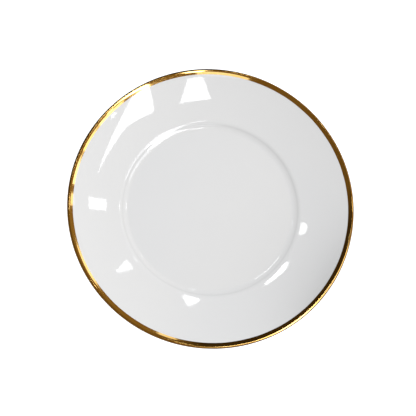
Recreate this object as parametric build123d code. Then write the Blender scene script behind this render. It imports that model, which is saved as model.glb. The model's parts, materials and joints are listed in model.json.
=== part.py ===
"""A china dinner plate with a gilded lip, in millimetres.

The plate is round about +Z and stands on its foot ring at z = 0, with its middle over the origin.
  porcelain_body   the fired clay: well, rim, lip and foot ring, bare where the foot meets the table
  glaze_coat       clear glaze in one coat over the well, the rim, the lip and the back, down to the foot
  glaze_base       clear glaze on the recessed base, inside the foot ring
  gold_band        burnished gold over the glaze, round the lip

Each piece is a half-section turned about Z. The half-section is drawn as a chain of lines and arcs, each
tangent to the one before it, and the layers are the same chain drawn with different insets.
"""

from build123d import *
from math import cos, radians, sin
import os

# Overall size and the layers on the clay.
PLATE_DIAMETER = 270.0
GLAZE_THICKNESS = 0.30
GOLD_THICKNESS = 0.12

# Well: a flat floor, a fillet, a short hollow wall, and the rounded verge where it turns into the rim.
WELL_FLOOR_HEIGHT = 7.6
WELL_FLOOR_RADIUS = 77.6
WELL_FILLET = 10.0
WALL_SLOPE_AT_FILLET = 20.0
WALL_HOLLOW = 12.5
WALL_SLOPE_AT_VERGE = 32.0
VERGE_ROUND = 10.0

# Rim: one long hollow arc from the verge to the lip, with the lip rounded right over.
RIM_SLOPE_AT_VERGE = 10.0
RIM_SLOPE_AT_LIP = 20.0
LIP_ROUND = 1.5
LIP_TURN = 180.0

# Back: a second hollow arc, under the rim, that runs into the foot ring.
BACK_SLOPE_AT_FOOT = 10.5
FOOT_FILLET = 2.4
FOOT_OUTER_RADIUS = 72.4
FOOT_WALL_SLOPE = 80.0
FOOT_EDGE_ROUND = 0.9
FOOT_LAND_WIDTH = 2.0
BASE_HEIGHT = 3.2
BASE_FILLET = 1.8

# The glaze is wiped from the foot up to this height.
GLAZE_WIPED_TO = 1.3

# Gold band: its inner edge on the rim, and its edge on the underside of the lip.
BAND_RIM_RADIUS = 129.7
BAND_UNDER_RADIUS = 134.2

# How far the windows that cut the layers reach past the plate.
BEYOND = 10.0


class Outline:
    """A chain of tangent lines and arcs, with the material on the right of the way it runs.

    A chain with an inset lies that far inside the material: arcs that turn left are hollow and grow by
    the inset, and arcs that turn right are round and shrink by it.
    """

    def __init__(self, r, z, inset):
        self.r = r
        self.z = z - inset
        self.heading = 0.0
        self.inset = inset
        self.edges = []

    def line(self, length):
        start = (self.r, self.z)
        self.r += length * cos(radians(self.heading))
        self.z += length * sin(radians(self.heading))
        self.edges.append(Line(start, (self.r, self.z)))

    def line_to_radius(self, r):
        self.line((r - self.r) / cos(radians(self.heading)))

    def arc(self, radius, turn):
        tangent = (cos(radians(self.heading)), sin(radians(self.heading)))
        edge = JernArc(start=(self.r, self.z), tangent=tangent, radius=self.drawn(radius, turn), arc_size=turn)
        end = edge @ 1
        self.r = end.X
        self.z = end.Y
        self.heading += turn
        self.edges.append(edge)

    def line_and_arc_to_height(self, z, radius, turn):
        """A line as long as it takes for the arc after it to end at height z."""
        side = 1 if turn > 0 else -1
        rise = cos(radians(self.heading)) - cos(radians(self.heading + turn))
        arc_rise = side * self.drawn(radius, turn) * rise
        self.line((z - arc_rise - self.z) / sin(radians(self.heading)))
        self.arc(radius, turn)

    def drawn(self, radius, turn):
        return radius + self.inset if turn > 0 else radius - self.inset

    def face(self):
        """The closed half-section, with the turning axis as its last side."""
        first = self.edges[0] @ 0
        axis_side = Line((self.r, self.z), (first.X, first.Y))
        return make_face(Curve() + self.edges + axis_side)


def arc_radius(width, slope_from, slope_to):
    """Radius of the arc that changes slope from one angle to another over a horizontal width."""
    return width / abs(sin(radians(slope_to)) - sin(radians(slope_from)))


def verge_radius():
    """Where the verge's rounding ends and the rim begins."""
    fillet = WELL_FILLET * sin(radians(WALL_SLOPE_AT_FILLET))
    wall = WALL_HOLLOW * (sin(radians(WALL_SLOPE_AT_VERGE)) - sin(radians(WALL_SLOPE_AT_FILLET)))
    verge = VERGE_ROUND * (sin(radians(WALL_SLOPE_AT_VERGE)) - sin(radians(RIM_SLOPE_AT_VERGE)))
    return WELL_FLOOR_RADIUS + fillet + wall + verge


def lip_centre_radius():
    return PLATE_DIAMETER / 2 - GOLD_THICKNESS - LIP_ROUND


def rim_arc_radius():
    rim_end = lip_centre_radius() - LIP_ROUND * sin(radians(RIM_SLOPE_AT_LIP))
    return arc_radius(rim_end - verge_radius(), RIM_SLOPE_AT_VERGE, RIM_SLOPE_AT_LIP)


def back_arc_radius():
    back_start = lip_centre_radius() + LIP_ROUND * sin(radians(RIM_SLOPE_AT_LIP))
    back_end = FOOT_OUTER_RADIUS + FOOT_FILLET
    return arc_radius(back_start - back_end, BACK_SLOPE_AT_FOOT, RIM_SLOPE_AT_LIP)


def half_section(inset):
    """The plate's half-section, from the middle of the well, over the lip, to the middle of the base.

    Inset 0 is the glazed plate, the glaze's thickness gives the clay, and minus the gold's the gold.
    """
    outline = Outline(0.0, WELL_FLOOR_HEIGHT, inset)
    outline.line_to_radius(WELL_FLOOR_RADIUS)
    outline.arc(WELL_FILLET, WALL_SLOPE_AT_FILLET)
    outline.arc(WALL_HOLLOW, WALL_SLOPE_AT_VERGE - WALL_SLOPE_AT_FILLET)
    outline.arc(VERGE_ROUND, RIM_SLOPE_AT_VERGE - WALL_SLOPE_AT_VERGE)
    outline.arc(rim_arc_radius(), RIM_SLOPE_AT_LIP - RIM_SLOPE_AT_VERGE)
    outline.arc(LIP_ROUND, -LIP_TURN)
    outline.arc(back_arc_radius(), BACK_SLOPE_AT_FOOT - RIM_SLOPE_AT_LIP)
    outline.arc(FOOT_FILLET, FOOT_WALL_SLOPE - BACK_SLOPE_AT_FOOT)
    outline.line_and_arc_to_height(inset, FOOT_EDGE_ROUND, -FOOT_WALL_SLOPE)
    outline.line(FOOT_LAND_WIDTH)
    outline.arc(FOOT_EDGE_ROUND, -FOOT_WALL_SLOPE)
    outline.line_and_arc_to_height(BASE_HEIGHT + inset, BASE_FILLET, FOOT_WALL_SLOPE)
    outline.line_to_radius(0.0)
    return outline.face()


def window(r_from, z_from, z_to):
    """A rectangle of the half-section's plane, from one radius out past the lip, to cut layers with."""
    width = PLATE_DIAMETER / 2 + BEYOND - r_from
    return Pos(r_from, z_from) * Rectangle(width, z_to - z_from, align=(Align.MIN, Align.MIN))


def layer_sections():
    """The half-section of each piece, by name."""
    glazed = half_section(0.0)
    gilded = half_section(-GOLD_THICKNESS)
    bare_foot = glazed & window(0.0, -BEYOND, GLAZE_WIPED_TO)
    clay = half_section(GLAZE_THICKNESS) + bare_foot
    base, coat = (glazed - clay).faces().sort_by(SortBy.AREA)
    top = glazed.bounding_box().max.Y
    lip_middle = top - LIP_ROUND
    band_window = window(BAND_RIM_RADIUS, lip_middle, top + BEYOND)
    band_window += window(BAND_UNDER_RADIUS, 0.0, lip_middle)
    gold = (gilded - glazed) & band_window
    return {
        "porcelain_body": clay,
        "glaze_coat": coat,
        "glaze_base": base,
        "gold_band": gold,
    }


def main():
    os.makedirs("parts", exist_ok=True)
    for name, section in layer_sections().items():
        solid = revolve(Plane.XZ * section, axis=Axis.Z)
        export_step(solid, f"parts/{name}.step")


main()
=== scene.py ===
import json
from math import asin, ceil, cos, degrees, pi, radians, sin, tan

import bmesh
import bpy
from mathutils import Matrix, Vector, noise


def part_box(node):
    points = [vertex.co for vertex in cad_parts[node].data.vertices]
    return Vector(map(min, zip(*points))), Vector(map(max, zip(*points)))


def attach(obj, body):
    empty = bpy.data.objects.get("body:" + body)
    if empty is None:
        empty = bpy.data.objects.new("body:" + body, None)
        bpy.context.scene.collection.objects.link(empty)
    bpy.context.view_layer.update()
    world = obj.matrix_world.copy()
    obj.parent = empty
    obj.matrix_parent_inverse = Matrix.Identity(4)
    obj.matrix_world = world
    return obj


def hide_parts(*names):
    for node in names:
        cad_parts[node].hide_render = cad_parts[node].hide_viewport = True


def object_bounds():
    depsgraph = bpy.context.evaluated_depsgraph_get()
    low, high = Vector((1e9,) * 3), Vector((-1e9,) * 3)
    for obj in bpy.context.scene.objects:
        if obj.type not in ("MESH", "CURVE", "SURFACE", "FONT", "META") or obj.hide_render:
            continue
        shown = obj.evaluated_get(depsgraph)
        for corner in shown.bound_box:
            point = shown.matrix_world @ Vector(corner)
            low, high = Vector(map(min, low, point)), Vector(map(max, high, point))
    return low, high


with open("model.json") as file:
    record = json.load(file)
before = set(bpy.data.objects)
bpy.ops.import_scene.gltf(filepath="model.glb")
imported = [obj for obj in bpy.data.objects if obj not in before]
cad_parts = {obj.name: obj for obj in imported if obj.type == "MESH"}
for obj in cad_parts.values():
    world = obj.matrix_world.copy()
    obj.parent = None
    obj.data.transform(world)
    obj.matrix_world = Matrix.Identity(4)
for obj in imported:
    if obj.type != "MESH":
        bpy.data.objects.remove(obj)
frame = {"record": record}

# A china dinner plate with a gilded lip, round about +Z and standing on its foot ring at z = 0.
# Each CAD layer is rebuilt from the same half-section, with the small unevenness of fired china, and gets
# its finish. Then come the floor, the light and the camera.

CAD_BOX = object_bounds()
RECORD = frame["record"]
MOUNTS = {mount["name"]: mount for mount in RECORD["mounts"]}
MM = 0.001

# Places from the CAD, in millimetres.
PLATE_RADIUS = CAD_BOX[1][0] / MM
WELL_FLOOR_HEIGHT = MOUNTS["well_floor"]["pos_m"][2] / MM
GLAZED_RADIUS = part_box("glaze_coat")[1][0] / MM
CLAY_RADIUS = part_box("porcelain_body")[1][0] / MM
GLAZE_THICKNESS = GLAZED_RADIUS - CLAY_RADIUS
GOLD_THICKNESS = PLATE_RADIUS - GLAZED_RADIUS
GLAZE_WIPED_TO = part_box("glaze_base")[0][2] / MM

# The rest of the half-section, as in the CAD: lengths in millimetres, slopes and turns in degrees.
WELL_FLOOR_RADIUS = 77.6
WELL_FILLET = 10.0
WALL_SLOPE_AT_FILLET = 20.0
WALL_HOLLOW = 12.5
WALL_SLOPE_AT_VERGE = 32.0
VERGE_ROUND = 10.0
RIM_SLOPE_AT_VERGE = 10.0
RIM_SLOPE_AT_LIP = 20.0
LIP_ROUND = 1.5
LIP_TURN = 180.0
BACK_SLOPE_AT_FOOT = 10.5
FOOT_FILLET = 2.4
FOOT_OUTER_RADIUS = 72.4
FOOT_WALL_SLOPE = 80.0
FOOT_EDGE_ROUND = 0.9
FOOT_LAND_WIDTH = 2.0
BASE_HEIGHT = 3.2
BASE_FILLET = 1.8
BAND_RIM_RADIUS = 129.7
BAND_LIP_TURN = 165.0

# How finely the half-section and the turn are divided. A ring smaller than ON_AXIS is a point on the axis.
SEGMENTS = 360
ON_AXIS = 0.001
LONGEST_STEP = 2.8
LARGEST_TURN = 7.5
LARGEST_TURN_IN_WELL = 2.0
SHARPEST_SMOOTH_TURN = 35.0

# The unevenness of the fired china: how far the rim lifts and dips, twice and three times round, and where
# in the turn, in radians. Then come the gentle long and short waves in the glaze, which are slices of a
# noise field, and how far the brush line of the gold strays.
RIM_WARP_FROM = 87.0
RIM_WARP_TWICE_ROUND = 0.22
RIM_WARP_TWICE_START = 0.7
RIM_WARP_THRICE_ROUND = 0.10
RIM_WARP_THRICE_START = -1.1
GLAZE_WAVE = 0.030
GLAZE_WAVE_LENGTH = 34.0
GLAZE_WAVE_SLICE = 3.0
SHORT_WAVE_SHARE = 0.18
SHORT_WAVE_LENGTH = 0.35 * GLAZE_WAVE_LENGTH
SHORT_WAVE_SLICE = 60.0
BRUSH_WOBBLE = 0.10
BRUSH_WOBBLES_ROUND = 9.0


class Outline:
    """A chain of tangent lines and arcs as points, with the material on the right of the way it runs.

    A chain with an inset lies that far inside the material: arcs that turn left are hollow and grow by
    the inset, and arcs that turn right are round and shrink by it.
    """

    def __init__(self, r, z, inset):
        self.points = [(r, z - inset)]
        self.heading = 0.0
        self.inset = inset
        self.marks = {}

    def mark(self, name):
        self.marks[name] = len(self.points) - 1

    def line(self, length):
        r, z = self.points[-1]
        steps = max(1, ceil(length / LONGEST_STEP))
        for step in range(1, steps + 1):
            along = length * step / steps
            self.points.append((r + along * cosd(self.heading), z + along * sind(self.heading)))

    def line_to_radius(self, r):
        self.line((r - self.points[-1][0]) / cosd(self.heading))

    def line_to_height(self, z):
        self.line((z - self.points[-1][1]) / sind(self.heading))

    def arc(self, radius, turn, largest_turn=LARGEST_TURN):
        side = 1 if turn > 0 else -1
        drawn = radius + side * self.inset
        r, z = self.points[-1]
        centre = (r - side * drawn * sind(self.heading), z + side * drawn * cosd(self.heading))
        length = drawn * abs(radians(turn))
        steps = max(2, ceil(abs(turn) / largest_turn), ceil(length / LONGEST_STEP))
        for step in range(1, steps + 1):
            heading = self.heading + turn * step / steps
            point = (centre[0] + side * drawn * sind(heading), centre[1] - side * drawn * cosd(heading))
            self.points.append(point)
        self.heading += turn

    def line_and_arc_to_height(self, z, radius, turn):
        """A line as long as it takes for the arc after it to end at height z."""
        side = 1 if turn > 0 else -1
        rise = cosd(self.heading) - cosd(self.heading + turn)
        self.line_to_height(z - side * (radius + side * self.inset) * rise)
        self.arc(radius, turn)


def sind(angle):
    return sin(radians(angle))


def cosd(angle):
    return cos(radians(angle))


def arc_radius(width, slope_from, slope_to):
    """Radius of the arc that changes slope from one angle to another over a horizontal width."""
    return width / abs(sind(slope_to) - sind(slope_from))


LIP_CENTRE_RADIUS = GLAZED_RADIUS - LIP_ROUND
CREASE_RADIUS = (
    WELL_FLOOR_RADIUS
    + WELL_FILLET * sind(WALL_SLOPE_AT_FILLET)
    + WALL_HOLLOW * (sind(WALL_SLOPE_AT_VERGE) - sind(WALL_SLOPE_AT_FILLET))
)
VERGE_RADIUS = CREASE_RADIUS + VERGE_ROUND * (sind(WALL_SLOPE_AT_VERGE) - sind(RIM_SLOPE_AT_VERGE))
RIM_END_RADIUS = LIP_CENTRE_RADIUS - LIP_ROUND * sind(RIM_SLOPE_AT_LIP)
RIM_ARC = arc_radius(RIM_END_RADIUS - VERGE_RADIUS, RIM_SLOPE_AT_VERGE, RIM_SLOPE_AT_LIP)
BACK_START_RADIUS = LIP_CENTRE_RADIUS + LIP_ROUND * sind(RIM_SLOPE_AT_LIP)
BACK_END_RADIUS = FOOT_OUTER_RADIUS + FOOT_FILLET
BACK_ARC = arc_radius(BACK_START_RADIUS - BACK_END_RADIUS, BACK_SLOPE_AT_FOOT, RIM_SLOPE_AT_LIP)
BAND_SLOPE = degrees(asin(sind(RIM_SLOPE_AT_VERGE) + (BAND_RIM_RADIUS - VERGE_RADIUS) / RIM_ARC))


def half_section(inset):
    """The plate's half-section, from the middle of the well, over the lip, to the middle of the base."""
    outline = Outline(0.0, WELL_FLOOR_HEIGHT, inset)
    outline.line_to_radius(WELL_FLOOR_RADIUS)
    outline.arc(WELL_FILLET, WALL_SLOPE_AT_FILLET, LARGEST_TURN_IN_WELL)
    outline.arc(WALL_HOLLOW, WALL_SLOPE_AT_VERGE - WALL_SLOPE_AT_FILLET, LARGEST_TURN_IN_WELL)
    outline.arc(VERGE_ROUND, RIM_SLOPE_AT_VERGE - WALL_SLOPE_AT_VERGE, LARGEST_TURN_IN_WELL)
    outline.arc(RIM_ARC, BAND_SLOPE - RIM_SLOPE_AT_VERGE)
    outline.mark("band_starts")
    outline.arc(RIM_ARC, RIM_SLOPE_AT_LIP - BAND_SLOPE)
    outline.mark("lip_starts")
    outline.arc(LIP_ROUND, -BAND_LIP_TURN)
    outline.mark("band_ends")
    outline.arc(LIP_ROUND, BAND_LIP_TURN - LIP_TURN)
    outline.mark("face_ends")
    outline.arc(BACK_ARC, BACK_SLOPE_AT_FOOT - RIM_SLOPE_AT_LIP)
    outline.arc(FOOT_FILLET, FOOT_WALL_SLOPE - BACK_SLOPE_AT_FOOT)
    outline.line_to_height(GLAZE_WIPED_TO)
    outline.mark("wiped_outside")
    outline.line_and_arc_to_height(inset, FOOT_EDGE_ROUND, -FOOT_WALL_SLOPE)
    outline.line(FOOT_LAND_WIDTH)
    outline.arc(FOOT_EDGE_ROUND, -FOOT_WALL_SLOPE)
    outline.line_to_height(GLAZE_WIPED_TO)
    outline.mark("wiped_inside")
    outline.line_and_arc_to_height(BASE_HEIGHT + inset, BASE_FILLET, FOOT_WALL_SLOPE)
    outline.line_to_radius(0.0)
    return outline


def face_share(index, marks):
    """1 on the face, fading to 0 round the lip, and 0 on the back."""
    start, end = marks["lip_starts"], marks["face_ends"]
    return 1.0 - smooth_step(index, start, end)


def smooth_step(value, low, high):
    share = min(1.0, max(0.0, (value - low) / (high - low)))
    return share * share * (3 - 2 * share)


class Ring:
    """One circle of a layer: its radius and height, and its shares of the face's waves and the brush line."""

    def __init__(self, point, face):
        self.r, self.z = point
        self.face = face
        self.edge = 0.0


def rings(outline, first, last):
    """The rings of an outline from one index to another, in order."""
    indexes = range(first, last + 1)
    return [Ring(outline.points[index], face_share(index, outline.marks)) for index in indexes]


def rim_warp(angle, r):
    """How far the fired rim has lifted or dipped here."""
    share = smooth_step(r, RIM_WARP_FROM, PLATE_RADIUS)
    twice = RIM_WARP_TWICE_ROUND * cos(2 * angle + RIM_WARP_TWICE_START)
    thrice = RIM_WARP_THRICE_ROUND * cos(3 * angle + RIM_WARP_THRICE_START)
    return share * (twice + thrice)


def glaze_wave(x, y):
    """The gentle waves of the glazed face."""
    long_wave = noise.noise(Vector((x, y, GLAZE_WAVE_SLICE)) / GLAZE_WAVE_LENGTH)
    short_wave = noise.noise(Vector((x, y, SHORT_WAVE_SLICE)) / SHORT_WAVE_LENGTH)
    return GLAZE_WAVE * (long_wave + SHORT_WAVE_SHARE * short_wave)


def brush_wobble(angle):
    """How far the brush line of the gold strays."""
    around = Vector((cos(angle), sin(angle), 0.0)) * BRUSH_WOBBLES_ROUND
    return BRUSH_WOBBLE * noise.noise(around)


def place(ring, angle):
    """A point of the uneven plate, in metres."""
    stray = ring.edge * brush_wobble(angle)
    r = ring.r + stray * cosd(RIM_SLOPE_AT_LIP)
    z = ring.z + stray * sind(RIM_SLOPE_AT_LIP)
    x, y = r * cos(angle), r * sin(angle)
    z += rim_warp(angle, r) + ring.face * glaze_wave(x, y)
    return Vector((x, y, z)) * MM


def turned(name, loop):
    """A closed mesh from a loop of rings. Two rings in a row on the axis leave it open there."""
    mesh = bmesh.new()
    circles = []
    for ring in loop:
        if ring.r < ON_AXIS:
            circles.append([mesh.verts.new(place(ring, 0.0))])
        else:
            angles = [2 * pi * step / SEGMENTS for step in range(SEGMENTS)]
            circles.append([mesh.verts.new(place(ring, angle)) for angle in angles])
    for index, circle in enumerate(circles):
        join(mesh, circle, circles[(index + 1) % len(circles)])
    bmesh.ops.recalc_face_normals(mesh, faces=mesh.faces)
    data = bpy.data.meshes.new(name)
    mesh.to_mesh(data)
    mesh.free()
    data.shade_smooth()
    data.set_sharp_from_angle(angle=radians(SHARPEST_SMOOTH_TURN))
    piece = bpy.data.objects.new(name, data)
    bpy.context.scene.collection.objects.link(piece)
    return piece


def join(mesh, inner, outer):
    """Faces between two circles, either of which may be a point on the axis."""
    if len(inner) == 1 and len(outer) == 1:
        return
    for step in range(SEGMENTS):
        after = (step + 1) % SEGMENTS
        if len(inner) == 1:
            mesh.faces.new((inner[0], outer[step], outer[after]))
        elif len(outer) == 1:
            mesh.faces.new((inner[step], outer[0], inner[after]))
        else:
            mesh.faces.new((inner[step], outer[step], outer[after], inner[after]))


def take(piece, node, material):
    """Gives a piece its material and its body, and hides the CAD node that it stands for."""
    piece.data.materials.append(material)
    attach(piece, "root")
    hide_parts(node)


# Materials.


# The colour sockets of a Mix node, which share their names with its other sockets.
MIX_FIRST = 6
MIX_SECOND = 7
MIX_RESULT = 2


class Nodes:
    """A node tree with short ways to add nodes and links."""

    def __init__(self, owner):
        owner.use_nodes = True
        self.tree = owner.node_tree

    def add(self, kind, **values):
        node = self.tree.nodes.new(kind)
        for key, value in values.items():
            setattr(node, key, value)
        return node

    def link(self, source, target):
        self.tree.links.new(source, target)

    def ramp(self, source, stops):
        """A colour ramp, with its stops as (place, colour) pairs."""
        ramp = self.add("ShaderNodeValToRGB")
        elements = ramp.color_ramp.elements
        while len(elements) < len(stops):
            elements.new(0.5)
        for element, (where, colour) in zip(elements, stops):
            element.position = where
            element.color = (*colour, 1.0)
        self.link(source, ramp.inputs["Fac"])
        return ramp.outputs["Color"]

    def span(self, source, low, high, start=0.0, end=1.0):
        """Maps a value from start..end to low..high."""
        span = self.add("ShaderNodeMapRange")
        for name, value in (("From Min", start), ("From Max", end), ("To Min", low), ("To Max", high)):
            span.inputs[name].default_value = value
        self.link(source, span.inputs["Value"])
        return span.outputs["Result"]

    def mix(self, share, first, second):
        """Mixes two colours, each a socket or three numbers, by a share from a socket."""
        mix = self.add("ShaderNodeMix", data_type="RGBA")
        for socket, value in ((mix.inputs[MIX_FIRST], first), (mix.inputs[MIX_SECOND], second)):
            if isinstance(value, tuple):
                socket.default_value = (*value, 1.0)
            else:
                self.link(value, socket)
        self.link(share, mix.inputs["Factor"])
        return mix.outputs[MIX_RESULT]

    def math(self, operation, *values):
        """One step of arithmetic on one or two values, each a socket or a number."""
        math = self.add("ShaderNodeMath", operation=operation)
        for socket, value in zip(math.inputs, values):
            if isinstance(value, float):
                socket.default_value = value
            else:
                self.link(value, socket)
        return math.outputs["Value"]


class Surface(Nodes):
    """A new material, with its Principled shader and its place on the object."""

    def __init__(self, name):
        self.material = bpy.data.materials.new(name)
        super().__init__(self.material)
        self.shader = self.tree.nodes["Principled BSDF"]
        self.place = self.add("ShaderNodeTexCoord").outputs["Object"]

    def noise(self, scale, detail=2.0, roughness=0.5, place=None):
        texture = self.add("ShaderNodeTexNoise")
        texture.inputs["Scale"].default_value = scale
        texture.inputs["Detail"].default_value = detail
        texture.inputs["Roughness"].default_value = roughness
        self.link(place or self.place, texture.inputs["Vector"])
        return texture.outputs["Fac"]

    def xyz(self):
        parts = self.add("ShaderNodeSeparateXYZ")
        self.link(self.place, parts.inputs["Vector"])
        return parts.outputs

    def radius(self):
        """Distance from the plate's axis, in metres."""
        parts = self.xyz()
        squares = [self.math("MULTIPLY", parts[axis], parts[axis]) for axis in "XY"]
        return self.math("SQRT", self.math("ADD", *squares))

    def turn(self):
        """Angle round the plate's axis, in radians."""
        parts = self.xyz()
        return self.math("ARCTAN2", parts["Y"], parts["X"])

    def bump(self, height, strength, distance):
        bump = self.add("ShaderNodeBump")
        bump.inputs["Strength"].default_value = strength
        bump.inputs["Distance"].default_value = distance
        self.link(height, bump.inputs["Height"])
        self.link(bump.outputs["Normal"], self.shader.inputs["Normal"])

    def set(self, **values):
        for name, value in values.items():
            self.shader.inputs[name.replace("_", " ")].default_value = value


def ring_at(nodes, radius, width):
    """1 on a circle of the plate, fading to 0 a width to each side of it."""
    off = nodes.math("ABSOLUTE", nodes.math("SUBTRACT", nodes.radius(), radius * MM))
    return nodes.span(off, low=1.0, high=0.0, start=0.0, end=width * MM)


GLAZE_WHITE = (0.741, 0.744, 0.748)
GLAZE_SHADE = (0.725, 0.729, 0.735)
# Painted shade along the crease: the grey that the glaze colour is mixed towards there, and how wide and how
# strong that ring is.
CREASE_SHADE_COLOUR = (0.60, 0.61, 0.615)
CREASE_SHADE_WIDTH = 1.2
CREASE_SHADE_STRENGTH = 0.35


def glaze_material():
    """Clear glaze over white china: even and glossy, with painted shade greying it in a ring along the
    crease.
    """
    nodes = Surface("clear_glaze_on_china")
    cloud = nodes.noise(scale=26.0, detail=3.0)
    white = nodes.mix(cloud, GLAZE_WHITE, GLAZE_SHADE)
    # Painted shade: the glaze colour is greyed in a ring along the crease, where shade falls.
    crease = ring_at(nodes, CREASE_RADIUS, CREASE_SHADE_WIDTH)
    crease_shaded = nodes.mix(nodes.math("MULTIPLY", crease, CREASE_SHADE_STRENGTH), white, CREASE_SHADE_COLOUR)
    nodes.link(crease_shaded, nodes.shader.inputs["Base Color"])
    smear = nodes.noise(scale=60.0, detail=4.0, roughness=0.6)
    nodes.link(nodes.span(smear, low=0.015, high=0.045, start=0.3, end=0.7), nodes.shader.inputs["Roughness"])
    nodes.set(IOR=1.5, Coat_Weight=0.3, Coat_Roughness=0.015)
    peel = nodes.noise(scale=900.0, detail=1.0)
    nodes.bump(peel, strength=0.06, distance=0.00002)
    return nodes.material


GOLD = (0.88, 0.60, 0.23)
GOLD_DEEP = (0.80, 0.50, 0.15)

# The burnisher's marks: how fine they are round the lip, to the radian, and across it, to the metre.
MARKS_ROUND = 2.0
MARKS_ACROSS = 5200.0


def gold_material():
    """Fired gold, burnished round the lip, with the marks of the burnisher running round it."""
    nodes = Surface("burnished_gold")
    along = nodes.add("ShaderNodeCombineXYZ")
    nodes.link(nodes.math("MULTIPLY", nodes.turn(), MARKS_ROUND), along.inputs["X"])
    nodes.link(nodes.math("MULTIPLY", nodes.radius(), MARKS_ACROSS), along.inputs["Y"])
    marks = nodes.noise(scale=1.0, place=along.outputs["Vector"])
    tone = nodes.noise(scale=70.0, detail=3.0)
    colour = nodes.mix(nodes.span(tone, low=0.0, high=1.0, start=0.35, end=0.7), GOLD, GOLD_DEEP)
    nodes.link(colour, nodes.shader.inputs["Base Color"])
    nodes.link(nodes.span(marks, low=0.03, high=0.07, start=0.3, end=0.75), nodes.shader.inputs["Roughness"])
    nodes.set(Metallic=1.0)
    nodes.bump(marks, strength=0.03, distance=0.00001)
    return nodes.material


CLAY = (0.76, 0.73, 0.68)
CLAY_WORN = (0.52, 0.49, 0.45)


def clay_material():
    """Bare fired clay on the foot: fine, matte, and greyed where it has stood on tables."""
    nodes = Surface("bare_china_clay")
    grain = nodes.noise(scale=1400.0, detail=3.0, roughness=0.65)
    scuffs = nodes.noise(scale=120.0, detail=5.0, roughness=0.7)
    worn = nodes.span(scuffs, low=0.0, high=0.6, start=0.48, end=0.68)
    nodes.link(nodes.mix(worn, CLAY, CLAY_WORN), nodes.shader.inputs["Base Color"])
    nodes.link(nodes.span(grain, low=0.62, high=0.85, start=0.3, end=0.7), nodes.shader.inputs["Roughness"])
    nodes.bump(grain, strength=0.35, distance=0.00008)
    return nodes.material


BASE_GLAZE_WHITE = (0.735, 0.735, 0.72)
BASE_GLAZE_SHADE = (0.715, 0.715, 0.70)
PINHOLE = (0.5, 0.49, 0.46)
PINHOLES_TO_THE_METRE = 130.0
PINHOLE_DARKNESS = 0.3


def base_glaze_material():
    """The thinner glaze inside the foot ring, with a few pinholes."""
    nodes = Surface("base_glaze_on_china")
    cloud = nodes.noise(scale=40.0, detail=4.0)
    white = nodes.mix(cloud, BASE_GLAZE_WHITE, BASE_GLAZE_SHADE)
    pits = nodes.add("ShaderNodeTexVoronoi")
    pits.inputs["Scale"].default_value = PINHOLES_TO_THE_METRE
    nodes.link(nodes.place, pits.inputs["Vector"])
    holes = nodes.span(pits.outputs["Distance"], low=1.0, high=0.0, start=0.03, end=0.07)
    pitted = nodes.mix(nodes.math("MULTIPLY", holes, PINHOLE_DARKNESS), white, PINHOLE)
    nodes.link(pitted, nodes.shader.inputs["Base Color"])
    smear = nodes.noise(scale=50.0, detail=3.0)
    nodes.link(nodes.span(smear, low=0.10, high=0.18, start=0.3, end=0.7), nodes.shader.inputs["Roughness"])
    nodes.set(IOR=1.5, Coat_Weight=0.3, Coat_Roughness=0.05)
    nodes.bump(nodes.math("MULTIPLY", holes, -1.0), strength=0.2, distance=0.00005)
    return nodes.material


# The plate.


def make_plate():
    glazed = half_section(0.0)
    clay = half_section(GLAZE_THICKNESS)
    gilded = half_section(-GOLD_THICKNESS)
    outside, inside, last = wiped_stretch(glazed)
    clay_outside, clay_inside, clay_last = wiped_stretch(clay)

    clay_face = rings(clay, 0, clay_outside)
    clay_base = rings(clay, clay_inside, clay_last)
    body = clay_face + rings(glazed, outside, inside) + clay_base
    coat = rings(glazed, 0, outside) + clay_face[::-1]
    base = rings(glazed, inside, last) + clay_base[::-1]
    band = band_rings(gilded) + band_rings(glazed)[::-1]

    take(turned("clay_body", body), "porcelain_body", clay_material())
    take(turned("face_and_back_glaze", coat), "glaze_coat", glaze_material())
    take(turned("base_glaze", base), "glaze_base", base_glaze_material())
    take(turned("gilded_lip", band), "gold_band", gold_material())


def wiped_stretch(outline):
    """Where the wiped foot starts and ends on an outline, and the outline's last point."""
    return outline.marks["wiped_outside"], outline.marks["wiped_inside"], len(outline.points) - 1


def band_rings(outline):
    """The rings of the gold, which follow the wobble of its brushed edge less and less towards the lip."""
    made = rings(outline, outline.marks["band_starts"], outline.marks["band_ends"])
    for index, ring in enumerate(made):
        ring.edge = 1.0 - smooth_step(index, 0, outline.marks["lip_starts"] - outline.marks["band_starts"])
    return made


# Floor, light and camera.

CAMERA_DISTANCE = 1.194
CAMERA_TILT = 14.16
CAMERA_ROLL = 18.94
CAMERA_LENS = 109.2
SENSOR_WIDTH = 36.0
AIM = (-0.0024, -0.0012, 0.012)


def make_camera():
    data = bpy.data.cameras.new("camera")
    data.lens = CAMERA_LENS
    data.sensor_width = SENSOR_WIDTH
    camera = bpy.data.objects.new("camera", data)
    back = Vector((0.0, -sind(CAMERA_TILT), cosd(CAMERA_TILT)))
    camera.location = Vector(AIM) + CAMERA_DISTANCE * back
    turn = Matrix.Rotation(radians(CAMERA_TILT), 4, "X") @ Matrix.Rotation(radians(CAMERA_ROLL), 4, "Z")
    camera.rotation_euler = turn.to_euler()
    bpy.context.scene.collection.objects.link(camera)
    bpy.context.scene.camera = camera


WHITE = (1.0, 1.0, 1.0, 1.0)
BLACK = (0.0, 0.0, 0.0, 1.0)


def flat_sheet(name, corners, level, material):
    """A level sheet for the floor, the panels or the flag, from the x and y of its corners."""
    mesh = bpy.data.meshes.new(name)
    mesh.from_pydata([(x, y, level) for x, y in corners], [], [tuple(range(len(corners)))])
    mesh.materials.append(material)
    sheet = bpy.data.objects.new(name, mesh)
    bpy.context.scene.collection.objects.link(sheet)
    return sheet


FLOOR_HALF = 4.0
FLOOR_GLOW = 0.45
FLOOR_PALE = (0.93, 0.93, 0.93)
FLOOR_PALER = (0.95, 0.95, 0.95)


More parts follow.
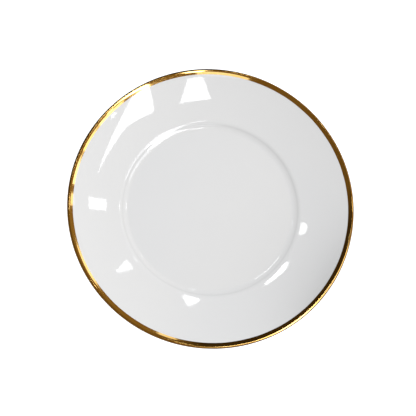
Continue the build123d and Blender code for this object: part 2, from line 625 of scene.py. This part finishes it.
def make_floor():
    nodes = Surface("pale_floor")
    fleck = nodes.noise(scale=3.0)
    nodes.link(nodes.mix(fleck, FLOOR_PALE, FLOOR_PALER), nodes.shader.inputs["Base Color"])
    nodes.set(Roughness=0.9, Specular_IOR_Level=0.1, Emission_Color=WHITE, Emission_Strength=FLOOR_GLOW)
    corners = card_corners(0.0, -FLOOR_HALF, FLOOR_HALF, 2 * FLOOR_HALF, 2 * FLOOR_HALF)
    floor = flat_sheet("floor", corners, CAD_BOX[0][2], nodes.material)
    floor.visible_glossy = False


SOFT_LIGHT = 1.38
SOFT_LIGHT_LEAN = 0.41
SOFT_LIGHT_FROM = 34.0

# What the gold mirrors besides the lamps and cards: a dim, warm room, as (azimuth, brightness) stops.
ROOM = ((-180, 0.14), (-60, 0.20), (35, 0.28), (85, 0.24), (100, 0.04), (165, 0.04))
ROOM_TINT = (1.0, 0.66, 0.22)


def make_world():
    """Even white light for the china, and a dim room with a few bright sides for what is mirrored."""
    world = bpy.data.worlds.new("studio")
    world.use_nodes = True
    nodes = Nodes(world)
    nodes.tree.nodes.clear()
    way = nodes.add("ShaderNodeTexCoord").outputs["Generated"]
    parts = nodes.add("ShaderNodeSeparateXYZ")
    nodes.link(way, parts.inputs["Vector"])
    path = nodes.add("ShaderNodeLightPath")

    lean = nodes.add("ShaderNodeVectorMath", operation="DOT_PRODUCT")
    nodes.link(way, lean.inputs[0])
    lean.inputs[1].default_value = (cosd(SOFT_LIGHT_FROM), sind(SOFT_LIGHT_FROM), 0.0)
    soft = nodes.add("ShaderNodeBackground")
    strength = nodes.span(lean.outputs["Value"], 1 - SOFT_LIGHT_LEAN, 1 + SOFT_LIGHT_LEAN, start=-1.0)
    nodes.link(nodes.math("MULTIPLY", strength, SOFT_LIGHT), soft.inputs["Strength"])

    turn = nodes.math("ARCTAN2", parts.outputs["Y"], parts.outputs["X"])
    azimuth = nodes.span(turn, low=0.0, high=1.0, start=-pi, end=pi)
    mirrored = nodes.add("ShaderNodeBackground")
    nodes.link(nodes.ramp(azimuth, room_stops()), mirrored.inputs["Color"])

    plain = nodes.add("ShaderNodeBackground")
    plain.inputs["Color"].default_value = WHITE
    seen = nodes.add("ShaderNodeMixShader")
    nodes.link(path.outputs["Is Camera Ray"], seen.inputs["Fac"])
    nodes.link(soft.outputs["Background"], seen.inputs[1])
    nodes.link(plain.outputs["Background"], seen.inputs[2])
    mix = nodes.add("ShaderNodeMixShader")
    nodes.link(path.outputs["Is Glossy Ray"], mix.inputs["Fac"])
    nodes.link(seen.outputs["Shader"], mix.inputs[1])
    nodes.link(mirrored.outputs["Background"], mix.inputs[2])
    out = nodes.add("ShaderNodeOutputWorld")
    nodes.link(mix.outputs["Shader"], out.inputs["Surface"])
    bpy.context.scene.world = world


def room_stops():
    """Ramp stops from the room's (azimuth, brightness) pairs, closed where the circle meets itself."""
    around = (*ROOM, (180, ROOM[0][1]))
    return [((azimuth + 180) / 360, tuple(light * part for part in ROOM_TINT)) for azimuth, light in around]


# What the glaze and the gold mirror: panels on a level above the table. The windows are given by their
# brightness and their corners in metres.
LAMP_LEVEL = 1.3
WINDOWS = {
    "tall_window": (7.0, (0.50, 0.38), (0.45, 0.12), (0.35, 0.03), (0.49, -0.12), (0.53, -0.02)),
    "low_window": (3.5, (0.80, 0.45), (0.70, 0.20), (0.60, 0.00), (1.15, -0.05), (1.30, 0.45)),
    "long_window": (
        7.0, (0.60, 0.00), (0.35, -0.27), (0.55, -0.40), (1.30, -0.90), (1.70, -0.50), (1.15, -0.05)
    ),
}

# The lamps and pale cards stand round the spot that the camera would see in a flat mirror in the plate's
# place: their direction from there in degrees, how far their near and far edges are and how wide those edges
# are, in metres, and how bright they are. The lamps show as highlights in the glaze. The cards are thin or
# dim, and mostly show in the gold.
MIRROR_SPOT = Vector((0.0, LAMP_LEVEL * tan(radians(CAMERA_TILT))))
LAMPS = {
    "near_lamp": (-63, 0.43, 0.60, 0.12, 0.07, 7.0),
    "slit_lamp": (-22, 0.62, 0.64, 0.04, 0.03, 7.0),
    "side_lamp": (22, 0.39, 0.55, 0.04, 0.06, 7.0),
    "corner_lamp": (58, 0.38, 0.53, 0.04, 0.01, 7.0),
    "far_lamp": (95, 0.33, 0.43, 0.08, 0.01, 7.0),
    "narrow_lamp": (147, 0.25, 0.33, 0.22, 0.09, 11.0),
    "small_lamp": (185, 0.27, 0.33, 0.06, 0.03, 7.0),
    "low_card": (-75, 0.60, 0.65, 0.25, 0.25, 1.4),
    "pale_card": (-22, 0.65, 0.70, 0.18, 0.18, 2.5),
    "middle_card": (-8, 0.67, 0.71, 0.18, 0.18, 2.5),
    "side_card": (5, 0.69, 0.74, 0.25, 0.25, 2.5),
    "left_card": (-58, 1.15, 1.40, 0.90, 0.90, 1.8),
    "back_card": (46, 0.80, 0.90, 0.25, 0.70, 1.7),
    "far_card": (90, 0.90, 1.00, 0.07, 0.25, 1.3),
    "thin_card": (22, 0.70, 0.80, 0.07, 0.07, 1.7),
}


def make_panel(name, corners, brightness):
    """A flat light that is seen only in reflections."""
    nodes = Surface(name)
    nodes.set(Base_Color=BLACK, Emission_Color=WHITE, Emission_Strength=brightness)
    panel = flat_sheet(name, corners, LAMP_LEVEL, nodes.material)
    panel.visible_camera = False
    panel.visible_diffuse = False
    panel.visible_shadow = False


def card_corners(direction, near, far, near_width, far_width):
    """The corners of a card that stands square to a direction, seen from the point where x and y are 0."""
    out = Vector((cosd(direction), sind(direction)))
    across = Vector((-out.y, out.x))
    edges = ((near, -near_width), (far, -far_width), (far, far_width), (near, near_width))
    return [out * distance + across * width / 2 for distance, width in edges]


# A small dark flag over one side of the rim shades it: its direction from the plate's axis in degrees, where
# its near and far edge are, its height above the table, and its width, in metres.
FLAG_AZIMUTH = -14
FLAG_NEAR = 0.137
FLAG_FAR = 0.171
FLAG_LEVEL = 0.054
FLAG_WIDTH = 0.110
FLAG_BLACK = (0.02, 0.02, 0.02, 1.0)


def make_flag():
    nodes = Surface("black_cloth")
    nodes.set(Base_Color=FLAG_BLACK, Roughness=1.0)
    corners = card_corners(FLAG_AZIMUTH, FLAG_NEAR, FLAG_FAR, FLAG_WIDTH, FLAG_WIDTH)
    flag = flat_sheet("flag", corners, FLAG_LEVEL, nodes.material)
    flag.visible_camera = False
    flag.visible_glossy = False


def make_lamps():
    for name, (brightness, *corners) in WINDOWS.items():
        make_panel(name, corners, brightness)
    for name, (*where, brightness) in LAMPS.items():
        make_panel(name, [MIRROR_SPOT + corner for corner in card_corners(*where)], brightness)


make_camera()
make_plate()
make_floor()
make_world()
make_lamps()
make_flag()
bpy.context.scene.view_settings.view_transform = "Standard"
